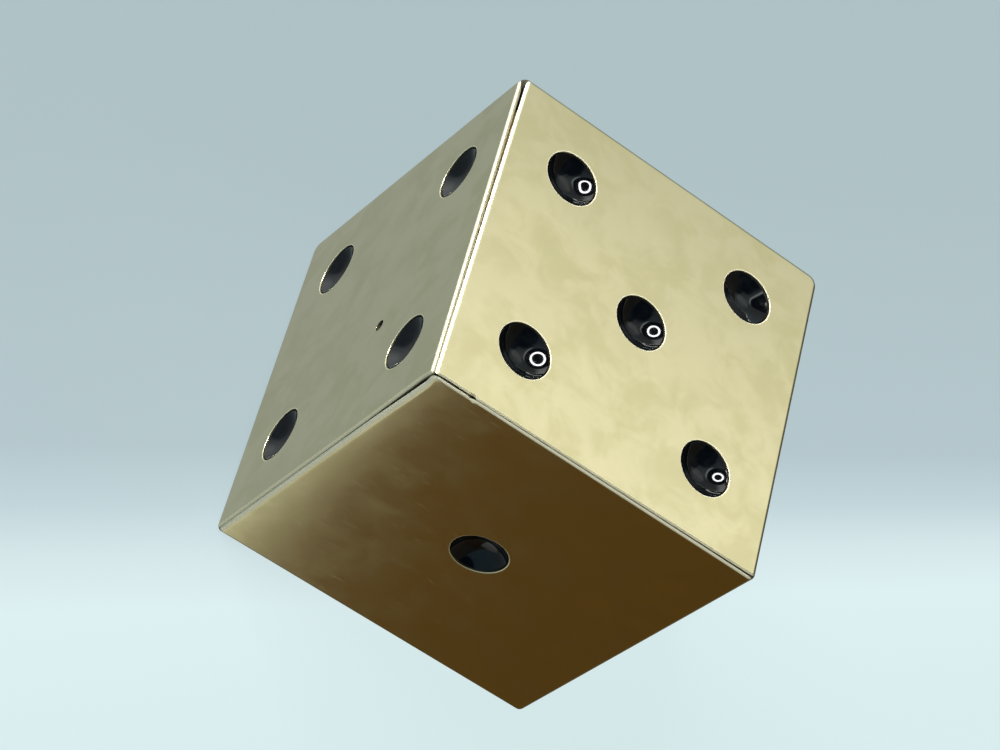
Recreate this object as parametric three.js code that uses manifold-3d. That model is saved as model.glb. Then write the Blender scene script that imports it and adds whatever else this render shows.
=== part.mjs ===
// Hollow brass die: six sheet plates on corner angles, with a dished black cup in each pip hole.
// Millimetres, +Z up. The die rests on its two-pip plate, and the origin is under its middle.

import * as THREE from "three";
import { RoundedBoxGeometry } from "three/addons/geometries/RoundedBoxGeometry.js";
import { mergeVertices } from "three/addons/utils/BufferGeometryUtils.js";
import Module from "manifold-3d";

// ---- Driving dimensions ----------------------------------------------------------------------

const EDGE = 50; // the die across its flats
const SHEET = 0.8; // plate thickness
const FIT_GAP = 0.3; // the gap at every seam and round every fitted piece
const EDGE_ROUND = 0.6; // rounding of the plates' outer rims
const EDGE_ROUND_STEPS = 2;

const PIP_OFFSET = 14.4; // middle of the face to a pip's row
const PIP_RADIUS = 3.9; // radius of the hole in the plate
const PIP_SIDES = 20;
const DISH_DEPTH = 1.87; // how far the dish goes below the face
const DISH_STEPS = 3;
const DISH_SINK = 0.1; // the cup's lip lies this far below the face
const CUP_LIP = 0.15; // flat lip round the dish
const CUP_WALL = 0.7; // black material under the middle of the dish
const FLANGE_WIDTH = 1.3; // the cup's flange behind the plate

const VENT_RADIUS = 0.8; // breather hole beside the middle of the four-pip plate
const VENT_UP = 5.5;
const VENT_TO_FRONT = 6.8;
const VENT_SIDES = 10;

const ANGLE_LEG = 3.5; // corner angle's leg, across
const ANGLE_THICKNESS = 0.8;

// ---- Worked-out dimensions -------------------------------------------------------------------

const HALF = EDGE / 2;
const MITRE_SHIFT = FIT_GAP / Math.SQRT2; // moves a 45 degree edge back by half of the seam gap
const CUT_MARGIN = 1; // how far a cutter runs past what it cuts
const CUP_RADIUS = PIP_RADIUS - FIT_GAP;
const FLANGE_RADIUS = PIP_RADIUS + FLANGE_WIDTH;
const ANGLE_CORNER = HALF - SHEET - FIT_GAP; // outer corner of the angle, from the die's middle
const ANGLE_END = ANGLE_CORNER - ANGLE_LEG - FIT_GAP; // an angle stops short of those that cross it

// ---- Materials -------------------------------------------------------------------------------

const BRASS = { color: 0xcfc08a, roughness: 0.22, metalness: 1 };
const INNER_BRASS = { color: 0x8c8155, roughness: 0.5, metalness: 1 };
const BLACK_ENAMEL = { color: 0x07090b, roughness: 0.08, metalness: 0 };

// ---- Faces -----------------------------------------------------------------------------------

const QUARTER = Math.PI / 2;
const CORNER_PIPS = [[-1, -1], [-1, 1], [1, -1], [1, 1]];
const DIAGONAL_PIPS = [[-1, -1], [1, 1]];
const CENTRE_PIP = [[0, 0]];
const SIDE_PIPS = [[0, -1], [0, 1]];

// Each face is built flat, looking along its own -Z, and turned to where it belongs.
const FACES = [
  { value: 1, normal: [0, -1, 0], turn: [QUARTER, 0, 0], pips: CENTRE_PIP },
  { value: 2, normal: [0, 0, -1], turn: [2 * QUARTER, 0, 0], pips: DIAGONAL_PIPS },
  { value: 3, normal: [1, 0, 0], turn: [0, QUARTER, 0], pips: [...DIAGONAL_PIPS, ...CENTRE_PIP] },
  { value: 4, normal: [-1, 0, 0], turn: [0, -QUARTER, 0], pips: CORNER_PIPS, vented: true },
  { value: 5, normal: [0, 0, 1], turn: [0, 0, 0], pips: [...CORNER_PIPS, ...CENTRE_PIP] },
  { value: 6, normal: [0, 1, 0], turn: [-QUARTER, 0, 0], pips: [...CORNER_PIPS, ...SIDE_PIPS] },
];

// ---- Solids ----------------------------------------------------------------------------------

const wasm = await Module();
wasm.setup();

function toSolid(geometry) {
  const bare = geometry.clone();
  bare.deleteAttribute("normal");
  bare.deleteAttribute("uv");
  const merged = mergeVertices(bare, 1e-5);
  return new wasm.Manifold(new wasm.Mesh({
    numProp: 3,
    vertProperties: Float32Array.from(merged.attributes.position.array),
    triVerts: Uint32Array.from(merged.index.array),
  }));
}

function toGeometry(solid) {
  const mesh = solid.getMesh();
  const geometry = new THREE.BufferGeometry();
  geometry.setAttribute("position", new THREE.BufferAttribute(mesh.vertProperties, 3));
  geometry.setIndex(new THREE.BufferAttribute(mesh.triVerts, 1));
  geometry.computeVertexNormals();
  return geometry;
}

function named(name, geometry, finish) {
  const mesh = new THREE.Mesh(geometry, new THREE.MeshStandardMaterial(finish));
  mesh.name = name;
  return mesh;
}

// A drill standing on the face at (x, y), long enough to go through the plate.
function drill(x, y, radius, sides) {
  const length = SHEET + 2 * CUT_MARGIN;
  const geometry = new THREE.CylinderGeometry(radius, radius, length, sides);
  geometry.rotateX(QUARTER);
  geometry.translate(x, y, -SHEET / 2);
  return toSolid(geometry);
}

// The share of the die that belongs to one plate: a four-sided frustum with 45 degree sides.
function plateWedge() {
  const top = HALF + CUT_MARGIN - MITRE_SHIFT;
  const bottom = HALF - SHEET - MITRE_SHIFT;
  const height = SHEET + CUT_MARGIN;
  const geometry = new THREE.CylinderGeometry(top * Math.SQRT2, bottom * Math.SQRT2, height, 4);
  geometry.rotateY(QUARTER / 2);
  geometry.rotateX(QUARTER);
  geometry.translate(0, 0, height / 2 - SHEET);
  return toSolid(geometry);
}

// A mitred plate with its outer face at z = 0 and its rim rounded as the whole die's edge is.
function plate({ pips, vented }) {
  const block = new RoundedBoxGeometry(EDGE, EDGE, EDGE, EDGE_ROUND_STEPS, EDGE_ROUND);
  block.translate(0, 0, -HALF);
  let solid = toSolid(block).intersect(plateWedge());
  for (const [column, row] of pips) {
    solid = solid.subtract(drill(column * PIP_OFFSET, row * PIP_OFFSET, PIP_RADIUS, PIP_SIDES));
  }
  if (vented) {
    solid = solid.subtract(drill(VENT_UP, -VENT_TO_FRONT, VENT_RADIUS, VENT_SIDES));
  }
  return toGeometry(solid);
}

// A dished cup, turned about its own axis: flat back, flange behind the plate, barrel, lip, dish.
function pipCup() {
  const dishRim = CUP_RADIUS - CUP_LIP;
  const dishDepth = DISH_DEPTH - DISH_SINK;
  const dishRadius = (dishRim ** 2 + dishDepth ** 2) / (2 * dishDepth);
  const rimAngle = Math.asin(dishRim / dishRadius);
  const flangeFront = -SHEET - FIT_GAP;
  const back = -DISH_DEPTH - CUP_WALL;
  const profile = [
    new THREE.Vector2(0, back),
    new THREE.Vector2(FLANGE_RADIUS, back),
    new THREE.Vector2(FLANGE_RADIUS, flangeFront),
    new THREE.Vector2(CUP_RADIUS, flangeFront),
    new THREE.Vector2(CUP_RADIUS, -DISH_SINK),
  ];
  for (let step = DISH_STEPS; step > 0; step -= 1) {
    const angle = (rimAngle * step) / DISH_STEPS;
    const height = -DISH_DEPTH + dishRadius * (1 - Math.cos(angle));
    profile.push(new THREE.Vector2(dishRadius * Math.sin(angle), height));
  }
  profile.push(new THREE.Vector2(0, -DISH_DEPTH));
  const geometry = new THREE.LatheGeometry(profile, PIP_SIDES);
  geometry.rotateX(QUARTER);
  return toGeometry(toSolid(geometry));
}

// An L-shaped strip inside one edge of the die, with its legs along +X and +Y of its own frame.
function cornerAngle() {
  const outer = ANGLE_CORNER;
  const inner = ANGLE_CORNER - ANGLE_THICKNESS;
  const tip = ANGLE_CORNER - ANGLE_LEG;
  const section = new THREE.Shape([
    new THREE.Vector2(outer, outer),
    new THREE.Vector2(tip, outer),
    new THREE.Vector2(tip, inner),
    new THREE.Vector2(inner, inner),
    new THREE.Vector2(inner, tip),
    new THREE.Vector2(outer, tip),
  ]);
  const geometry = new THREE.ExtrudeGeometry(section, { depth: 2 * ANGLE_END, bevelEnabled: false });
  geometry.translate(0, 0, -ANGLE_END);
  return toGeometry(toSolid(geometry));
}

// ---- Assembly --------------------------------------------------------------------------------

function faceGroup(face) {
  const group = new THREE.Group();
  group.rotation.set(...face.turn);
  const skin = new THREE.Group();
  skin.position.z = HALF;
  skin.add(named(`face_plate_${face.value}`, plate(face), BRASS));
  face.pips.forEach(([column, row], index) => {
    const cup = named(`pip_${face.value}_${index + 1}`, pipCup(), BLACK_ENAMEL);
    cup.position.set(column * PIP_OFFSET, row * PIP_OFFSET, 0);
    skin.add(cup);
  });
  group.add(skin);
  return group;
}

function angleBetween(first, second) {
  const across = new THREE.Vector3(...first.normal);
  const up = new THREE.Vector3(...second.normal);
  const along = new THREE.Vector3().crossVectors(across, up);
  const strip = named(`edge_angle_${first.value}_${second.value}`, cornerAngle(), INNER_BRASS);
  strip.setRotationFromMatrix(new THREE.Matrix4().makeBasis(across, up, along));
  return strip;
}

const OPPOSITE_SUM = 7; // opposite faces of a die add up to seven, and share no edge

const die = new THREE.Group();
die.position.z = HALF;
for (const face of FACES) {
  die.add(faceGroup(face));
}
for (const first of FACES) {
  for (const second of FACES) {
    if (first.value < second.value && first.value + second.value !== OPPOSITE_SUM) {
      die.add(angleBetween(first, second));
    }
  }
}

const part = new THREE.Group();
part.add(die);

export default part;
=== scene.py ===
"""Looks of the hollow brass die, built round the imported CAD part.

The pieces are drawn in millimetres and placed in metres, in the CAD frame: +Z is up, and the die
rests on its 2 plate. Each plate is made in its own flat frame, with its outer face at z = 0.
"""

import math

import bpy
from mathutils import Matrix, Vector, noise
from mathutils.geometry import delaunay_2d_cdt


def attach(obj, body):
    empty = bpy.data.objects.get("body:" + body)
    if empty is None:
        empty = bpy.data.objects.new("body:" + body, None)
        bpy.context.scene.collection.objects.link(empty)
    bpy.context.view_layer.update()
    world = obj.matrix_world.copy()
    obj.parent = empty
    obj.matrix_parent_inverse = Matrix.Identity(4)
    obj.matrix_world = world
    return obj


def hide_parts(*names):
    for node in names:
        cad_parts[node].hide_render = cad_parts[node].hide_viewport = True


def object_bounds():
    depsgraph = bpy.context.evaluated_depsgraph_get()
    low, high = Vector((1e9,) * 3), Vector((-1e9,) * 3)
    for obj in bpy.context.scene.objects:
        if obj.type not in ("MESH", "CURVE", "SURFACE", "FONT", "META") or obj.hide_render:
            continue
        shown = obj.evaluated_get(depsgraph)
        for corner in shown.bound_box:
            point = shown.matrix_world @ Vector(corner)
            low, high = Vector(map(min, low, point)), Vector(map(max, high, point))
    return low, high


MM = 0.001

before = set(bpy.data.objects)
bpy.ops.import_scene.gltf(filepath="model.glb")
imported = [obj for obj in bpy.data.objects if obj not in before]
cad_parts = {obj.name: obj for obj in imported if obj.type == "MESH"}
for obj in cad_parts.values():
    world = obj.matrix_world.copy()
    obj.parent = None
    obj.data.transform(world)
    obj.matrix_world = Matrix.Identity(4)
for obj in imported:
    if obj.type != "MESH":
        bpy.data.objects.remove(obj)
cad_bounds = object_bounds()

# ---- Plates, in millimetres --------------------------------------------------------------------

HALF = (cad_bounds[1].x - cad_bounds[0].x) / 2 / MM  # from the die's middle to a face
CENTRE = (cad_bounds[0] + cad_bounds[1]) / 2  # the die's middle, in metres
SHEET = 0.8
PIP_OFFSET = 14.4  # from the middle of a face to a pip's row
PIP_RADIUS = 3.82
PIP_FILLET = 0.10  # rounding of the hole's rim
PIP_SIDES = 96
VENT_RADIUS = 0.8
VENT_PLACE = (5.5, -6.8)
VENT_FILLET = 0.03
VENT_SIDES = 32
FILLET_STEPS = 5
HOLD = 0.12  # width of the flat ring that keeps a face flat up to its rounded edges
GRID = 1.25  # spacing of the vertices inside a face
GRID_MARGIN = 1.6  # from a plate's rim to the first of them
GRID_CLEARANCE = 0.45 * GRID  # from a hole to the nearest of them

# Rounding of a plate's rim beside its neighbour, and the usual one.
RIM_ROUND = {(5, 4): 0.70, (4, 5): 0.72, (5, 1): 0.46, (1, 5): 0.62, (1, 4): 1.0, (4, 1): 0.8}
USUAL_ROUND = 0.6
RIM_STEPS = 7
MITRE_SHARES = (1.35, 2.0)  # rings down the mitre: 1 is its outer end, and 2 its inner end

# How far each rim was rubbed down to a satin finish, beside its neighbour, and the usual amount.
# The pale satin is partly real wear and partly a painted highlight along the rims.
RIM_WEAR_AND_HIGHLIGHT = {(5, 4): 1.0, (4, 5): 1.0, (5, 1): 0.5, (1, 5): 0.8, (1, 4): 0.80, (4, 1): 0.40}
USUAL_WEAR_AND_HIGHLIGHT = 0.15
WEAR_AND_HIGHLIGHT_GROWTH = 2.5  # a rim is fully worn after 1 / 2.5 of its rounding

# The same for the pip holes of each plate, and how the wear and painted highlight spread from flat
# ring to barrel.
HOLE_WEAR_AND_HIGHLIGHT = {1: 0.4, 4: 0.5}
USUAL_HOLE_WEAR_AND_HIGHLIGHT = 0.8
HOLE_WEAR_AND_HIGHLIGHT_SHARES = (0.0, 0.8, 1.0, 1.0, 0.9, 0.4, 0.0)

# Width of a seam, by the place along the edge that the two plates share: (place, width), ...
SEAM_WIDTH = {
    (4, 5): ((-25, 0.22), (0, 0.46), (23.6, 0.68), (25, 0.78)),
    (1, 5): ((-25, 0.08), (-23.6, 0.26), (-20.2, 0.24), (-19.9, 0.08), (-19.4, 0.60), (-18.9, 0.08),
             (8, 0.12), (20, 0.18), (25, 0.24)),
    (1, 4): ((-25, 0.04), (0, 0.07), (11, 0.13), (20, 0.40), (23, 0.44), (24.6, 0.10)),
}
USUAL_WIDTH = ((-25, 0.10), (25, 0.16))

# Corner radius of the plates at a corner of the die, by the corner's signs in x, y and z.
CORNER_ROUND = {
    (-1, 1, 1): 0.65, (-1, -1, 1): 0.35, (1, 1, 1): 1.3, (1, -1, 1): 0.5,
    (-1, 1, -1): 1.3, (-1, -1, -1): 0.5, (1, 1, -1): 1.2, (1, -1, -1): 0.6,
}
OWN_CORNER = {(1, (-1, -1, 1)): 1.1, (6, (-1, 1, 1)): 0.9}  # one plate's own, by (plate, corner)
CORNER_GROWTH = 0.35  # how much wider a corner is at its outer end than at the face
LEAST_CORNER = 0.2
SIDE_STEPS = 100
CORNER_STEPS = 8

# Slow waves of the worked sheet, and the buffed shoulder along the 1 plate's left rim.
WAVE_HEIGHT = 0.007
WAVE_LENGTH = 11
WAVE_FADE = 4  # how fast the waves grow from the rim inwards
WAVE_SLICE = 7.3  # from one plate's slice of the noise to the next
SHOULDER_DROP = 0.05
SHOULDER_REACH = 1.6

# ---- Pip cups, in millimetres --------------------------------------------------------------------

CUP_GAP = 0.16  # between a cup and its hole
CUP_SINK = 0.19  # from the face to the lip of a cup
CUP_LIP = 0.04  # width of the lip, and depth of its bevel
LIP_BEVEL = 0.03  # width of the bevel
CUP_BACK = 2.57  # from the face to the flat back of a cup
FLANGE_REACH = 1.4  # how far the flange goes past the hole
FLANGE_GAP = 0.05  # between the flange and the plate
DISH_CURVE = 4.7  # radius of the ball that shapes a dish
DISH_STEPS = 30

# Slope in degrees past which a dish grows steeper only slowly, by (face, pip), and how slowly.
CUP_EASE = {(4, 1): 36, (4, 2): 36, (4, 3): 36, (4, 4): 36, (5, 4): 22.5}
NO_EASE = 60
EASED_SHARE = 0.2

# How far each pip sits from its proper place, across its face.
PIP_STRAY = {(5, 1): (0.24, 0.16), (5, 3): (-0.08, 0.16), (5, 4): (0.27, 0.18), (5, 5): (0.42, 0.28)}

# Swellings left in a dish by hand polishing, by (face, pip): place, height, widths outward and across.
CUP_SWELLINGS = {
    (5, 1): ((2.65, 0.80), 0.132, 1.50, 1.36),
    (5, 2): ((2.50, 0.75), 0.106, 5.00, 1.25),
    (5, 3): ((2.85, 0.85), -0.020, 0.80, 0.80),
    (5, 5): ((2.75, 0.95), 0.030, 1.30, 1.10),
}
LUMP_HEIGHT = 0.02  # of the slight lumps in every dish
LUMP_LENGTH = 1.9
LUMP_SLICE = (3.1, 1.7)  # from one face's, and from one pip's, slice of the noise to the next
CUP_RIPPLE = {(5, 5): 0.0075, (5, 3): 0.0030, (5, 1): 0.0015}  # height of the finer ripples
RIPPLES_PER_LUMP = 5

# ---- Camera ------------------------------------------------------------------------------------

AZIMUTH = math.radians(29.62)  # from -Y towards -X
ELEVATION = math.radians(45.12)
ROLL = math.radians(-54.89)
DISTANCE = 0.3954
AIM_RIGHT, AIM_UP = -0.00286, 0.00361  # where the camera aims, from the middle of the die
LENS = 108.74
SENSOR = 36

TOWARD = Vector((
    -math.sin(AZIMUTH) * math.cos(ELEVATION),
    -math.cos(AZIMUTH) * math.cos(ELEVATION),
    math.sin(ELEVATION),
))
level_right = Vector((math.cos(AZIMUTH), -math.sin(AZIMUTH), 0))
level_up = TOWARD.cross(level_right)
RIGHT = level_right * math.cos(ROLL) - level_up * math.sin(ROLL)
UP = level_up * math.cos(ROLL) + level_right * math.sin(ROLL)

camera_data = bpy.data.cameras.new("camera")
camera_data.lens = LENS
camera_data.sensor_width = SENSOR
camera_data.clip_start = 0.01
camera_data.clip_end = 20
camera = bpy.data.objects.new("camera", camera_data)
bpy.context.scene.collection.objects.link(camera)
aim = CENTRE + RIGHT * AIM_RIGHT + UP * AIM_UP
camera.matrix_world = Matrix.Translation(aim + TOWARD * DISTANCE) @ Matrix((
    (RIGHT.x, UP.x, TOWARD.x, 0),
    (RIGHT.y, UP.y, TOWARD.y, 0),
    (RIGHT.z, UP.z, TOWARD.z, 0),
    (0, 0, 0, 1),
))
bpy.context.scene.camera = camera
bpy.context.scene.view_settings.view_transform = "Standard"


# ---- Node helpers ------------------------------------------------------------------------------


class Nodes:
    """Adds nodes to a tree and joins them up."""

    def __init__(self, tree):
        self.tree = tree
        tree.nodes.clear()

    def add(self, kind, settings=None, **inputs):
        node = self.tree.nodes.new("ShaderNode" + kind)
        for name, value in (settings or {}).items():
            setattr(node, name, value)
        for name, value in inputs.items():
            self.feed(node.inputs[name.replace("_", " ")], value)
        return node

    def feed(self, socket, value):
        if isinstance(value, bpy.types.NodeSocket):
            self.tree.links.new(value, socket)
        else:
            socket.default_value = value

    def math(self, operation, *values):
        node = self.add("Math", {"operation": operation})
        for socket, value in zip(node.inputs, values):
            self.feed(socket, value)
        return node.outputs[0]

    def dot(self, vector, fixed):
        node = self.add("VectorMath", {"operation": "DOT_PRODUCT"})
        self.feed(node.inputs[0], vector)
        self.feed(node.inputs[1], tuple(fixed))
        return node.outputs["Value"]

    def ramp(self, value, low, high, to_low=0.0, to_high=1.0):
        """Eases from to_low to to_high while the value goes from low to high."""
        node = self.add("MapRange", {"interpolation_type": "SMOOTHSTEP"})
        for name, item in zip(("Value", "From Min", "From Max", "To Min", "To Max"),
                              (value, low, high, to_low, to_high)):
            self.feed(node.inputs[name], item)
        return node.outputs["Result"]

    def mix(self, factor, first, second, blend="MIX"):
        node = self.add("Mix", {"data_type": "RGBA", "blend_type": blend})
        self.feed(node.inputs["Factor"], factor)
        for name, value in (("A", first), ("B", second)):
            self.feed(node.inputs[name], colour(value) if isinstance(value, tuple) else value)
        return node.outputs["Result"]

    def blend_shaders(self, kind, first, second, factor=None):
        node = self.add(kind)
        shaders = (first, second) if factor is None else (factor, first, second)
        for socket, value in zip(node.inputs, shaders):
            self.feed(socket, value)
        return node.outputs[0]

    def stops(self, value, *pairs):
        node = self.add("ValToRGB")
        self.feed(node.inputs["Fac"], value)
        elements = node.color_ramp.elements
        while len(elements) < len(pairs):
            elements.new(0.5)
        for element, (place, rgb) in zip(elements, pairs):
            element.position = place
            element.color = colour(rgb)
        return node.outputs["Color"]

    def noise(self, vector, scale, detail, roughness, distortion=0.0):
        node = self.add("TexNoise", None, Vector=vector, Scale=scale, Detail=detail,
                        Roughness=roughness, Distortion=distortion)
        return node.outputs["Fac"]


def colour(rgb):
    return (*rgb, 1.0)


def cosine(degrees):
    return math.cos(math.radians(degrees))


# ---- World: a light tent, a ring lamp and its dark surroundings ---------------------------------

FAR_TONE = (0.434, 0.546, 0.571)  # the backdrop, and the floor far behind the die

# The tent's tone by latitude, in degrees above the camera's level.
TENT_TONES = (
    (-90, (0.17, 0.17, 0.16)),
    (-60, (0.17, 0.20, 0.21)),
    (-20, (0.19, 0.25, 0.28)),
    (5, (0.24, 0.29, 0.32)),
    (22, (0.38, 0.44, 0.46)),
    (38, (0.58, 0.65, 0.64)),
    (56, (0.83, 0.92, 0.90)),
    (74, (1.90, 1.95, 1.90)),
)

# Directions are (longitude, latitude) in degrees from the camera's side: see from_camera. The two
# reaches of a patch are the angles from its middle where it starts to fade and where it ends.
TENT_PATCHES = (
    ((-60, 8), (32, 46), (0.23, 0.28, 0.31)),  # left of the camera
    ((-26, -34), (34, 46), (0.17, 0.28, 0.35)),  # blue, lower: the lens of light in the 1 pip
    ((-146, 20), (16, 34), (0.330, 0.370, 0.392)),  # what the 4 plate mirrors
    ((108, 58), (20, 34), (0.34, 0.35, 0.34)),  # above the wall
    ((124, 38), (16, 28), (0.26, 0.32, 0.35)),  # behind the wall
    ((80, -8), (24, 30), (0.050, 0.062, 0.070)),  # below the wall
)

LAMP = (4, 57)
LAMP_RING = (11, 12.5, 16, 17.5)  # degrees from its middle: where the light starts and ends
LAMP_DISC = (29, 31)  # the black disc that holds the ring
LAMP_TONE = (36.0, 36.0, 36.0)
DISC_TONE = (0.004, 0.004, 0.005)
GLINT_BAND = (30.5, 32, 33.5, 36)  # a pale arc along the right of the black disc
GLINT = (40, 36)
GLINT_REACH = 26
GLINT_TONE = (3.0, 3.2, 3.2)

WALL = (88, 36)  # what the 5 plate mirrors
WALL_REACH = (12, 20)
WALL_TONE = (0.97, 0.98, 0.96)
DIM_WALL_TONE = (0.56, 0.58, 0.57)  # towards DIM_WALL
DIM_WALL, DIM_WALL_FADE = (0.25, 1, 0), (0.69, 0.78)

DARK_GAP = (38, -12)  # nearly black, between the camera and the wall
DARK_GAP_REACH = (30, 42)
DARK_GAP_TONE = (0.008, 0.018, 0.034)

# The side towards +X and the floor is dark, and darker still at the back. The 1 plate's left side
# mirrors a pale glow in it, and the rest of that plate mirrors brown. A fade is along a direction,
# from its start to where it is full.
UNDER, UNDER_FADE = (0.89, -0.04, -0.45), (0.31, 0.36)
UNDER_TONE = (0.105, 0.088, 0.060)
BACK, BACK_REACH = Vector((0.68, 0.68, -0.26)).normalized(), (16, 34)
BACK_TONE = (0.045, 0.047, 0.046)
GLOW, GLOW_REACH = (-118, -58), (12, 22)
GLOW_TONE = (0.54, 0.55, 0.50)
BROWN, BROWN_FADE = (0.36, -0.60, -0.71), (0.80, 0.90)
BROWN_SIDE, BROWN_SIDE_FADE = (1, 0, 0), (0.286, 0.333)
BROWN_TONE = (0.082, 0.046, 0.012)

FILL = (18, -22)
FILL_POWER = 1.6
FILL_SPREAD = 50  # degrees across
FILL_TINT = (1.0, 0.98, 0.92)


def from_camera(longitude, latitude):
    """A direction told from the camera's side: 0, 0 is towards it, 90, 0 to its right."""
    lon, lat = math.radians(longitude), math.radians(latitude)
    level = TOWARD * math.cos(lon) + RIGHT * math.sin(lon)
    return (level * math.cos(lat) + UP * math.sin(lat)).normalized()


def sky_colour(n):
    """The colour that each direction of the tent sends to the die."""
    ray = n.add("TexCoord").outputs["Generated"]

    def patch(below, middle, inner, outer, rgb):
        """A round patch: full strength within the inner angle, none beyond the outer."""
        nearness = n.dot(ray, middle)
        return n.mix(n.ramp(nearness, cosine(outer), cosine(inner)), below, rgb)

    def band(value, start, full, fading, end):
        rise = n.ramp(value, math.radians(start), math.radians(full))
        fall = n.ramp(value, math.radians(end), math.radians(fading))
        return n.math("MULTIPLY", rise, fall)

    height = n.math("MULTIPLY_ADD", n.dot(ray, UP), 0.5, 0.5)
    sky = n.stops(height, *((0.5 + 0.5 * math.sin(math.radians(latitude)), rgb)
                            for latitude, rgb in TENT_TONES))
    for place, reach, tone in TENT_PATCHES:
        sky = patch(sky, from_camera(*place), *reach, tone)

    wall, dim_wall = (patch(sky, from_camera(*WALL), *WALL_REACH, tone)
                      for tone in (WALL_TONE, DIM_WALL_TONE))
    sky = n.mix(n.ramp(n.dot(ray, DIM_WALL), *DIM_WALL_FADE), wall, dim_wall)
    sky = patch(sky, from_camera(*DARK_GAP), *DARK_GAP_REACH, DARK_GAP_TONE)

    sky = n.mix(n.ramp(n.dot(ray, UNDER), *UNDER_FADE), sky, UNDER_TONE)
    sky = patch(sky, BACK, *BACK_REACH, BACK_TONE)
    sky = patch(sky, from_camera(*GLOW), *GLOW_REACH, GLOW_TONE)
    low = n.ramp(n.dot(ray, BROWN), *BROWN_FADE)
    right = n.ramp(n.dot(ray, BROWN_SIDE), *BROWN_SIDE_FADE)
    sky = n.mix(n.math("MULTIPLY", low, right), sky, BROWN_TONE)

    lamp = from_camera(*LAMP)
    off_axis = n.math("ARCCOSINE", n.dot(ray, lamp))
    sky = patch(sky, lamp, *LAMP_DISC, DISC_TONE)
    beside = n.ramp(n.dot(ray, from_camera(*GLINT)), cosine(GLINT_REACH), 1.0)
    glint = n.math("MULTIPLY", band(off_axis, *GLINT_BAND), beside)
    sky = n.mix(glint, sky, GLINT_TONE)
    return n.mix(band(off_axis, *LAMP_RING), sky, LAMP_TONE)


def build_world():
    """The tent lights the die, and the camera sees a plain backdrop instead of it."""
    world = bpy.data.worlds.new("tent")
    world.use_nodes = True
    bpy.context.scene.world = world
    n = Nodes(world.node_tree)
    seen = n.add("LightPath").outputs["Is Camera Ray"]
    lit = n.add("Background", None, Color=sky_colour(n), Strength=1.0).outputs[0]
    plain = n.add("Background", None, Color=colour(FAR_TONE), Strength=1.0).outputs[0]
    n.add("OutputWorld", None, Surface=n.blend_shaders("MixShader", lit, plain, seen))


def build_fill():
    """A broad soft light from the front, which only satin surfaces show."""
    light = bpy.data.lights.new("fill", "SUN")
    light.energy = FILL_POWER
    light.angle = math.radians(FILL_SPREAD)
    light.color = FILL_TINT
    fill = bpy.data.objects.new("fill", light)
    bpy.context.scene.collection.objects.link(fill)
    fill.matrix_world = from_camera(*FILL).to_track_quat("Z", "Y").to_matrix().to_4x4()
    fill.visible_glossy = False


build_world()
build_fill()

# ---- Materials ---------------------------------------------------------------------------------

# Rubbed rims turn this pale, less metallic satin tint: partly real wear, partly a painted highlight.
WORN_HIGHLIGHT_TINT = (0.86, 0.82, 0.62)
WORN_METALLIC = 0.30
WORN_ROUGHNESS = 0.35  # how much rougher a fully worn rim is
HAIRLINE_STRETCH = (1.0, 18.0, 7.0)
HAIRLINE_TURN = (0.5, 0.2, 0.9)


def new_material(name):
    material = bpy.data.materials.new(name)
    material.use_nodes = True
    return material, Nodes(material.node_tree)


def brass_material(name, tint, roughness, mottle, metallic=1.0):
    """Polished sheet brass under thin lacquer: cloudy tint, hairlines and slow waves.

    Rubbed rims and hole edges carry the attribute wear_and_highlight: wear and a painted highlight.
    """
    material, n = new_material(name)
    place = n.add("TexCoord").outputs["Object"]
    wear_and_highlight = n.add("Attribute", {"attribute_name": "wear_and_highlight"}).outputs["Fac"]
    cloud = n.noise(place, scale=190.0, detail=3.0, roughness=0.55, distortion=0.4)
    film = n.noise(place, scale=60.0, detail=2.0, roughness=0.5, distortion=0.2)
    waves = n.noise(place, scale=130.0, detail=1.5, roughness=0.45, distortion=0.3)
    stretched = n.add("Mapping", None, Vector=place, Scale=HAIRLINE_STRETCH,
                      Rotation=HAIRLINE_TURN).outputs[0]
    hairline = n.noise(stretched, scale=420.0, detail=2.0, roughness=0.6)

    red, green, blue = tint
    pale = (red * 1.04, green * 1.04, blue * 1.04)
    deep = (red * 0.93, green * 0.93, blue * 0.86)
    filmed = (red * 0.97, green * 0.97, blue * 0.97)
    base = n.mix(n.ramp(cloud, 0.35, 0.68), pale, deep)
    base = n.mix(n.ramp(film, 0.4, 0.75, 0.0, 0.5), base, filmed)
    # Painted highlight and wear: rubbed rims take the pale satin tint.
    base = n.mix(wear_and_highlight, base, WORN_HIGHLIGHT_TINT)
    metal = n.ramp(wear_and_highlight, 0.0, 1.0, metallic, WORN_METALLIC)

    rough = n.math("MULTIPLY_ADD", n.ramp(cloud, 0.3, 0.8), 0.05, roughness - 0.02)
    rough = n.math("ADD", rough, n.ramp(hairline, 0.62, 0.75, 0.0, 0.05))
    rough = n.math("MULTIPLY_ADD", wear_and_highlight, WORN_ROUGHNESS, rough)

    height = n.math("MULTIPLY_ADD", hairline, 0.015, n.math("MULTIPLY", waves, mottle))
    bump = n.add("Bump", None, Height=height, Strength=1.0, Distance=0.1 * MM)
    shader = n.add("BsdfPrincipled", None, Base_Color=base, Metallic=metal, Roughness=rough,
                   Normal=bump.outputs[0])
    n.add("OutputMaterial", None, Surface=shader.outputs[0])
    return material


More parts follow.
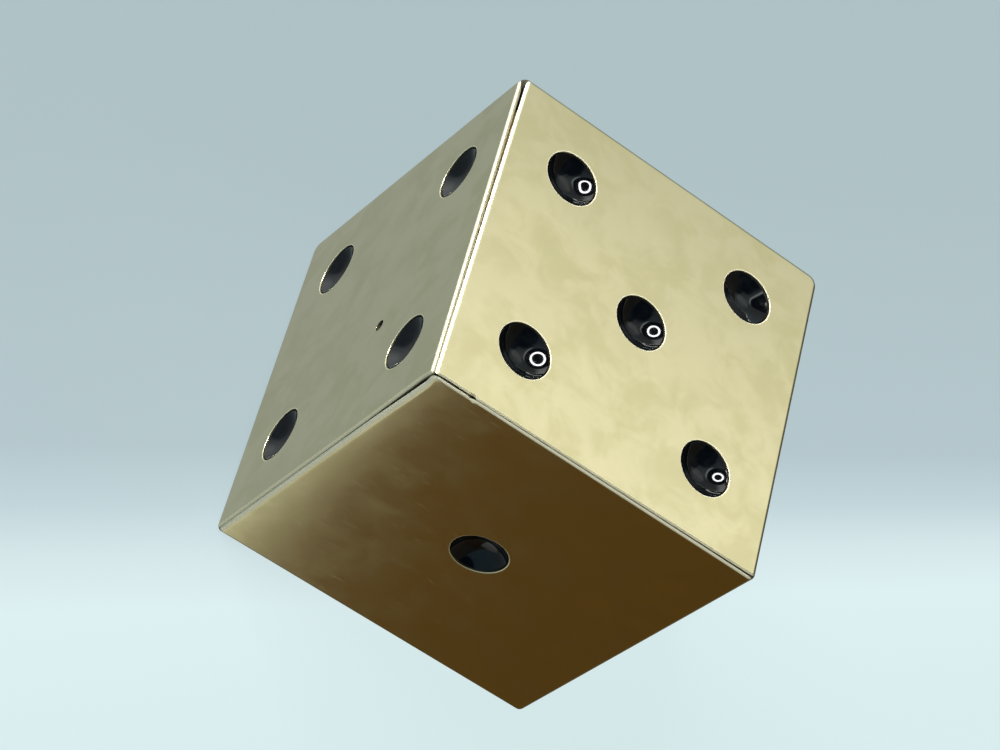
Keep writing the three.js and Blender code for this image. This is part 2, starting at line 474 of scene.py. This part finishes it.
def enamel_material():
    """Black enamel, dished by hand: glossy, with faint streaks in its polish."""
    material, n = new_material("black_enamel")
    place = n.add("TexCoord").outputs["Object"]
    streak = n.noise(place, scale=900.0, detail=3.0, roughness=0.6)
    soft = n.noise(place, scale=420.0, detail=1.0, roughness=0.4)
    black, less_black = (0.0012, 0.0018, 0.0024), (0.0035, 0.0045, 0.0055)
    base = n.mix(n.ramp(streak, 0.4, 0.8), black, less_black)
    rough = n.ramp(streak, 0.35, 0.8, 0.04, 0.10)
    bump = n.add("Bump", None, Height=soft, Strength=1.0, Distance=0.02 * MM)
    shader = n.add("BsdfPrincipled", None, Base_Color=base, Metallic=0.0, Roughness=rough,
                   IOR=1.46, Normal=bump.outputs[0])
    n.add("OutputMaterial", None, Surface=shader.outputs[0])
    return material


BRASS = brass_material("polished_brass", (0.85, 0.78, 0.47), 0.13, 0.10)
# Brass darkened nearly to black for the inner faces, mitres and hole barrels: painted shade.
SHADED_INNER_BRASS = brass_material("inner_brass", (0.045, 0.036, 0.020), 0.65, 0.3, 0.25)
ANGLE_BRASS = brass_material("angle_brass", (0.42, 0.33, 0.18), 0.5, 0.3, 0.3)
ENAMEL = enamel_material()


# ---- Mesh helpers ------------------------------------------------------------------------------

SHARP_EDGE = 38  # degrees between two faces from which their edge is drawn sharp
CORNER_SIGNS = ((1, -1), (1, 1), (-1, 1), (-1, -1))  # of a square's corners, anticlockwise


def clamp(value):
    return max(0.0, min(value, 1.0))


def outline(radii):
    """A closed square with rounded corners, anticlockwise, as (x, y, share of the x side).

    radii are the corners' at front right, back right, back left and front left.
    """
    corners = []
    for index, ((sx, sy), radius) in enumerate(zip(CORNER_SIGNS, radii)):
        start = (index - 1) * math.pi / 2
        arc = []
        for step in range(CORNER_STEPS + 1):
            angle = start + step / CORNER_STEPS * math.pi / 2
            arc.append((sx * (HALF - radius) + radius * math.cos(angle),
                        sy * (HALF - radius) + radius * math.sin(angle),
                        math.cos(angle) ** 2))
        corners.append(arc)
    points = []
    for index, arc in enumerate(corners):
        points += arc
        start, end = Vector(arc[-1]), Vector(corners[(index + 1) % 4][0])
        points += [tuple(start.lerp(end, step / SIDE_STEPS)) for step in range(1, SIDE_STEPS)]
    return points


def circle(x, y, radius, sides):
    return [(x + radius * math.cos(2 * math.pi * s / sides),
             y + radius * math.sin(2 * math.pi * s / sides)) for s in range(sides)]


class Shell:
    """Gathers the vertices and faces of one closed piece, and the wear and painted highlight of its
    vertices.
    """

    def __init__(self):
        self.vertices = []
        self.faces = []
        self.inner_faces = set()
        self.wear_and_highlight = {}

    def ring(self, points, z):
        first = len(self.vertices)
        self.vertices += [Vector((x, y, z)) for x, y in points]
        return list(range(first, first + len(points)))

    def band(self, upper, lower, inside=False):
        """Quads between two closed rings; they face outwards if upper is anticlockwise."""
        count = len(upper)
        for i in range(count):
            j = (i + 1) % count
            self.add_face((upper[i], lower[i], lower[j], upper[j]), inside)

    def add_face(self, face, inside=False):
        if inside:
            self.inner_faces.add(len(self.faces))
        self.faces.append(tuple(face))

    def sheet(self, boundary, holes, z, upward, inner_points=(), inside=False):
        """Triangles over the area within a boundary ring and outside the holes' rings.

        A hole is its ring, its centre and its radius.
        """
        loops = [boundary, *[ring for ring, _, _ in holes]]
        index = [i for loop in loops for i in loop]
        flat = [self.vertices[i].xy for i in index]
        edges, start = [], 0
        for loop in loops:
            count = len(loop)
            edges += [(start + i, start + (i + 1) % count) for i in range(count)]
            start += count
        for x, y in inner_points:
            index.append(len(self.vertices))
            self.vertices.append(Vector((x, y, z)))
            flat.append(Vector((x, y)))
        points, _, triangles, origin, _, _ = delaunay_2d_cdt(flat, edges, [], 1, 1e-7)
        for triangle in triangles:
            middle = sum((points[i] for i in triangle), Vector((0, 0))) / 3
            if any((middle - centre).length < radius for _, centre, radius in holes):
                continue
            face = [index[origin[i][0]] for i in triangle]
            self.add_face(face if upward else reversed(face), inside)

    def build(self, name, place, material, inner_material=None):
        mesh = bpy.data.meshes.new(name)
        mesh.from_pydata([v * MM for v in self.vertices], [], self.faces)
        mesh.transform(place)
        mesh.materials.append(material)
        if inner_material:
            mesh.materials.append(inner_material)
            for index in self.inner_faces:
                mesh.polygons[index].material_index = 1
        mesh.polygons.foreach_set("use_smooth", [True] * len(mesh.polygons))
        mesh.set_sharp_from_angle(angle=math.radians(SHARP_EDGE))
        piece = bpy.data.objects.new(name, mesh)
        bpy.context.scene.collection.objects.link(piece)
        wear_and_highlight = mesh.attributes.new("wear_and_highlight", "FLOAT", "POINT")
        for index, amount in self.wear_and_highlight.items():
            wear_and_highlight.data[index].value = amount
        weigh = piece.modifiers.new("normals", "WEIGHTED_NORMAL")
        weigh.keep_sharp = True
        return piece


def fillet_steps(radius):
    """(inset, depth) down a rounded edge, from the flat face to the upright barrel."""
    steps = [math.pi / 2 * step / FILLET_STEPS for step in range(FILLET_STEPS + 1)]
    return [(radius * (1 - math.sin(a)), radius * (1 - math.cos(a))) for a in steps]


def inner_grid(holes):
    """Vertices inside a face, clear of its rim and its holes."""
    reach = HALF - GRID_MARGIN
    count = int(2 * reach / GRID)
    places = [reach * (2 * step / count - 1) for step in range(count + 1)]
    return [(x, y) for x in places for y in places
            if all((Vector((x, y)) - centre).length > radius + GRID_CLEARANCE
                   for _, centre, radius in holes)]


def cut_holes(shell, holes):
    """The rounded rim and the barrel of each hole; gives the holes' rings, front and back."""
    front, back = [], []
    for x, y, radius, fillet, sides, hole_wear_and_highlight in holes:
        outer = radius + fillet + HOLD
        rings = [shell.ring(circle(x, y, outer, sides), 0.0)]
        rings += [shell.ring(circle(x, y, radius + inset, sides), -depth)
                  for inset, depth in fillet_steps(fillet)]
        for share, ring in zip(HOLE_WEAR_AND_HIGHLIGHT_SHARES, rings):
            shell.wear_and_highlight.update(dict.fromkeys(ring, share * hole_wear_and_highlight))
        for upper, lower in zip(rings, rings[1:]):
            shell.band(lower, upper)
        bottom = shell.ring(circle(x, y, radius, sides), -SHEET)
        # The hole's barrel takes the dark inner brass: painted shade round the cup.
        shell.band(bottom, rings[-1], inside=True)
        front.append((rings[0], Vector((x, y)), outer))
        back.append((bottom, Vector((x, y)), radius))
    return front, back


# ---- Faces -------------------------------------------------------------------------------------

CENTRE_PIP = [(0, 0)]
DIAGONAL_PIPS = [(-1, -1), (1, 1)]
CORNER_PIPS = [(-1, -1), (-1, 1), (1, -1), (1, 1)]
SIDE_PIPS = [(0, -1), (0, 1)]

# Each face's pips, and the axis and degrees that turn it from the top of the die to its place.
FACES = {
    1: ("X", 90, CENTRE_PIP),
    2: ("X", 180, DIAGONAL_PIPS),
    3: ("Y", 90, DIAGONAL_PIPS + CENTRE_PIP),
    4: ("Y", -90, CORNER_PIPS),
    5: ("X", 0, CORNER_PIPS + CENTRE_PIP),
    6: ("X", -90, CORNER_PIPS + SIDE_PIPS),
}


def face_turn(value):
    axis, turn, _ = FACES[value]
    return Matrix.Rotation(math.radians(turn), 3, axis)


def face_place(value):
    """The matrix from a face's own frame to the die's."""
    lift = Matrix.Translation((0, 0, HALF * MM))
    return Matrix.Translation(CENTRE) @ face_turn(value).to_4x4() @ lift


def pip_places(value):
    places = []
    for index, (column, row) in enumerate(FACES[value][2], 1):
        right, up = PIP_STRAY.get((value, index), (0, 0))
        places.append((column * PIP_OFFSET + right, row * PIP_OFFSET + up))
    return places


def plate_holes(value):
    """(x, y, radius, fillet, sides, wear and painted highlight) of every hole in a plate."""
    hole_wear_and_highlight = HOLE_WEAR_AND_HIGHLIGHT.get(value, USUAL_HOLE_WEAR_AND_HIGHLIGHT)
    holes = [(x, y, PIP_RADIUS, PIP_FILLET, PIP_SIDES, hole_wear_and_highlight) for x, y in pip_places(value)]
    if value == 4:
        holes.append((*VENT_PLACE, VENT_RADIUS, VENT_FILLET, VENT_SIDES, 0.0))
    return holes


def neighbour(value, side):
    """The face that a plate meets on one side of its own frame."""
    direction = face_turn(value) @ Vector((*side, 0))
    return max(FACES, key=lambda other: (face_turn(other) @ Vector((0, 0, 1))).dot(direction))


def between(stops, place):
    """Reads a table of (place, value), straight between its entries and level beyond its ends."""
    if place <= stops[0][0]:
        return stops[0][1]
    for (low, first), (high, second) in zip(stops, stops[1:]):
        if place <= high:
            return first + (second - first) * (place - low) / (high - low)
    return stops[-1][1]


def seam_width(value, side, along):
    """The width of the seam at one place along a plate's side.

    Both plates read it at the same place, which is counted along the axis of the die that
    their shared edge follows.
    """
    other = neighbour(value, side)
    stops = SEAM_WIDTH.get((min(value, other), max(value, other)), USUAL_WIDTH)
    edge_axis = face_turn(value) @ Vector((abs(side[1]), abs(side[0]), 0))
    return between(stops, along * sum(edge_axis))


def rim_profile(value, side, along, share):
    """(inset, depth, wear and painted highlight) of a plate's rim at one place along a side.

    share runs from 0 at the flat face to 1 at the outer end of the mitre, where the rounding
    ends, and 2 is the mitre's inner end. Below 0 is the flat strip that holds the face flat.
    """
    key = (value, neighbour(value, side))
    radius = RIM_ROUND.get(key, USUAL_ROUND)
    angle = math.pi / 4 * clamp(share)
    inset, depth = radius * (1 - math.sin(angle)), radius * (1 - math.cos(angle))
    deeper = (SHEET - depth) * max(0.0, share - 1)
    flat = HOLD if share < 0 else 0.0
    back = seam_width(value, side, along) / math.sqrt(2)
    wear_and_highlight = RIM_WEAR_AND_HIGHLIGHT.get(key, USUAL_WEAR_AND_HIGHLIGHT) * clamp(WEAR_AND_HIGHLIGHT_GROWTH * share)
    return back + inset + deeper + flat, depth + deeper, wear_and_highlight


def corner_radius(value, sx, sy, share):
    spot = face_turn(value) @ Vector((sx, sy, 1))
    corner = tuple(round(c) for c in spot)
    outer = OWN_CORNER.get((value, corner), CORNER_ROUND[corner])
    return max(LEAST_CORNER, outer - CORNER_GROWTH * (1 - clamp(share)))


def rim_ring(shell, value, share):
    """One ring of vertices round a plate, at one share of its rim's profile."""
    first = len(shell.vertices)
    radii = [corner_radius(value, sx, sy, share) for sx, sy in CORNER_SIGNS]
    for x, y, x_share in outline(radii):
        x_inset, x_depth, x_wear_and_highlight = rim_profile(value, (math.copysign(1, x), 0), y, share)
        y_inset, y_depth, y_wear_and_highlight = rim_profile(value, (0, math.copysign(1, y)), x, share)
        depth = x_depth * x_share + y_depth * (1 - x_share)
        shell.wear_and_highlight[len(shell.vertices)] = x_wear_and_highlight * x_share + y_wear_and_highlight * (1 - x_share)
        shell.vertices.append(Vector((x * (1 - x_inset / HALF), y * (1 - y_inset / HALF), -depth)))
    return list(range(first, len(shell.vertices)))


def face_plate(value):
    """One side of the die: sheet with a rounded rim, mitred behind it, with rounded pip holes."""
    shell = Shell()
    front, back = cut_holes(shell, plate_holes(value))
    shares = [-1.0, *(step / RIM_STEPS for step in range(RIM_STEPS + 1)), *MITRE_SHARES]
    rims = [rim_ring(shell, value, share) for share in shares]
    # The mitres and the back take the dark inner brass: painted shade in the seams.
    for share, upper, lower in zip(shares, rims, rims[1:]):
        shell.band(upper, lower, inside=share >= 1)
    shell.sheet(rims[0], front, 0.0, True, inner_grid(front))
    shell.sheet(rims[-1], back, -SHEET, False, inside=True)
    for vertex in shell.vertices:
        shape_plate(value, vertex)
    return shell.build(f"plate_{value}", face_place(value), BRASS, SHADED_INNER_BRASS)


def shape_plate(value, vertex):
    """The slight waves of worked sheet, and the buffed shoulder beside the 1 plate's left rim."""
    inland = max(0.0, 1 - (vertex.x / HALF) ** 2) * max(0.0, 1 - (vertex.y / HALF) ** 2)
    spot = Vector((vertex.x / WAVE_LENGTH, vertex.y / WAVE_LENGTH, value * WAVE_SLICE))
    vertex.z += min(1.0, inland * WAVE_FADE) * WAVE_HEIGHT * noise.noise(spot)
    if value == 1:
        vertex.z -= SHOULDER_DROP * math.exp(-(vertex.x + HALF) / SHOULDER_REACH)


def dish_profile(rim, ease):
    """(radius, rise) from the middle of a dish outwards: a ball's hollow, straighter past ease."""
    points, rise, step = [], 0.0, rim / DISH_STEPS
    for index in range(1, DISH_STEPS + 1):
        slope = math.asin(step * (index - 0.5) / DISH_CURVE)
        rise += step * math.tan(min(slope, ease + EASED_SHARE * (slope - ease)))
        points.append((step * index, rise))
    return points


def shape_dish(key, vertex, radius):
    """The lumps, the ripples and the swelling that hand polishing left in one dish."""
    value, index = key
    middle = max(0.0, 1 - (vertex.xy.length / radius) ** 2)
    noise_slice = value * LUMP_SLICE[0] + index * LUMP_SLICE[1]
    spot = Vector((vertex.x / LUMP_LENGTH, vertex.y / LUMP_LENGTH, noise_slice))
    vertex.z += middle * LUMP_HEIGHT * noise.noise(spot)
    vertex.z += middle * CUP_RIPPLE.get(key, 0.0) * noise.noise(spot * RIPPLES_PER_LUMP)
    if key in CUP_SWELLINGS:
        place, height, outward_width, cross_width = CUP_SWELLINGS[key]
        off = vertex.xy - Vector(place)
        outward = off.dot(Vector(place).normalized()) / outward_width
        across = off.cross(Vector(place).normalized()) / cross_width
        vertex.z += height * math.exp(-outward ** 2 - across ** 2)


def pip_cup(value, index, x, y):
    """A dished cup: lip, lumpy hand-made dish, barrel, flange and flat back."""
    shell = Shell()
    key = (value, index)
    radius = PIP_RADIUS - CUP_GAP
    dish = dish_profile(radius - CUP_LIP, math.radians(CUP_EASE.get(key, NO_EASE)))
    depth = CUP_SINK + dish[-1][1]
    flange, flange_top = PIP_RADIUS + FLANGE_REACH, -SHEET - FLANGE_GAP
    barrel = [(flange, -CUP_BACK), (flange, flange_top), (radius, flange_top)]
    lip = [(radius, -CUP_SINK - CUP_LIP), (radius - LIP_BEVEL, -CUP_SINK)]
    hollow = [(r, rise - depth) for r, rise in reversed(dish)]
    rings = [shell.ring(circle(0, 0, r, PIP_SIDES), z) for r, z in barrel + lip + hollow]
    for lower, upper in zip(rings, rings[1:]):
        shell.band(upper, lower)
    shell.add_face(reversed(rings[0]))
    bottom = len(shell.vertices)
    shell.vertices.append(Vector((0, 0, -depth)))
    last = rings[-1]
    for i in range(PIP_SIDES):
        shell.add_face((last[i], last[(i + 1) % PIP_SIDES], bottom))
    dish_start = rings[len(barrel + lip)][0]
    for vertex in shell.vertices[dish_start:]:
        shape_dish(key, vertex, radius)
    place = face_place(value) @ Matrix.Translation((x * MM, y * MM, 0))
    return shell.build(f"cup_{value}_{index}", place, ENAMEL)


# ---- Pieces ------------------------------------------------------------------------------------

for value in FACES:
    piece = face_plate(value)
    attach(piece, "root")
    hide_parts(f"face_plate_{value}")

for value in FACES:
    for index, (x, y) in enumerate(pip_places(value), 1):
        piece = pip_cup(value, index, x, y)
        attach(piece, "root")
        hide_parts(f"pip_{value}_{index}")

for name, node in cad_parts.items():
    if name.startswith("edge_angle"):
        node.data.materials.clear()
        node.data.materials.append(ANGLE_BRASS)

# ---- Floor -------------------------------------------------------------------------------------

FLOOR_RADIUS = 6000
FLOOR_SIDES = 64
FLOOR_DROP = 0.02  # below the die, so that the two don't touch
FLOOR_GLOW = 0.9
FLOOR_MATT = 0.05
CLIMB = (-0.535, 0.846, 0)  # the way across the floor that the camera sees as upwards
CLIMB_START, CLIMB_END = -0.05, 0.10  # metres from the middle, where the tones start and end
# Painted light: the glowing floor's tones, brightest in a band near the die, fading to the far tone.
FLOOR_PAINTED_LIGHT_TONES = (
    (0.07, (0.708, 0.863, 0.871)),
    (0.21, (0.738, 0.888, 0.905)),
    (0.26, (0.680, 0.810, 0.835)),
    (0.305, (0.550, 0.680, 0.716)),
    (0.36, (0.470, 0.584, 0.617)),
    (0.66, (0.440, 0.550, 0.576)),
    (0.93, FAR_TONE),
)


def build_floor():
    """A pale floor that mostly glows, a painted light brighter near the die, so the die's shadow stays
    soft.
    """
    shell = Shell()
    shell.add_face(shell.ring(circle(0, 0, FLOOR_RADIUS, FLOOR_SIDES), 0))
    material, n = new_material("floor")
    place = n.add("TexCoord").outputs["Object"]
    climb = n.add("MapRange", None, Value=n.dot(place, CLIMB),
                  From_Min=CLIMB_START, From_Max=CLIMB_END).outputs["Result"]
    tone = n.stops(climb, *FLOOR_PAINTED_LIGHT_TONES)
    # The floor glows in its painted tones, though it is no lamp.
    glow = n.add("Emission", None, Color=tone, Strength=FLOOR_GLOW).outputs[0]
    dark_tone = n.mix(1.0, tone, (FLOOR_MATT,) * 3, "MULTIPLY")
    matt = n.add("BsdfDiffuse", None, Color=dark_tone).outputs[0]
    n.add("OutputMaterial", None, Surface=n.blend_shaders("AddShader", glow, matt))
    floor = shell.build("floor", Matrix.Translation((0, 0, -FLOOR_DROP * MM)), material)
    floor.visible_glossy = False
    floor.visible_diffuse = False


build_floor()

# ---- Final update of the view layer --------------------------------------------------------------

bpy.context.view_layer.update()
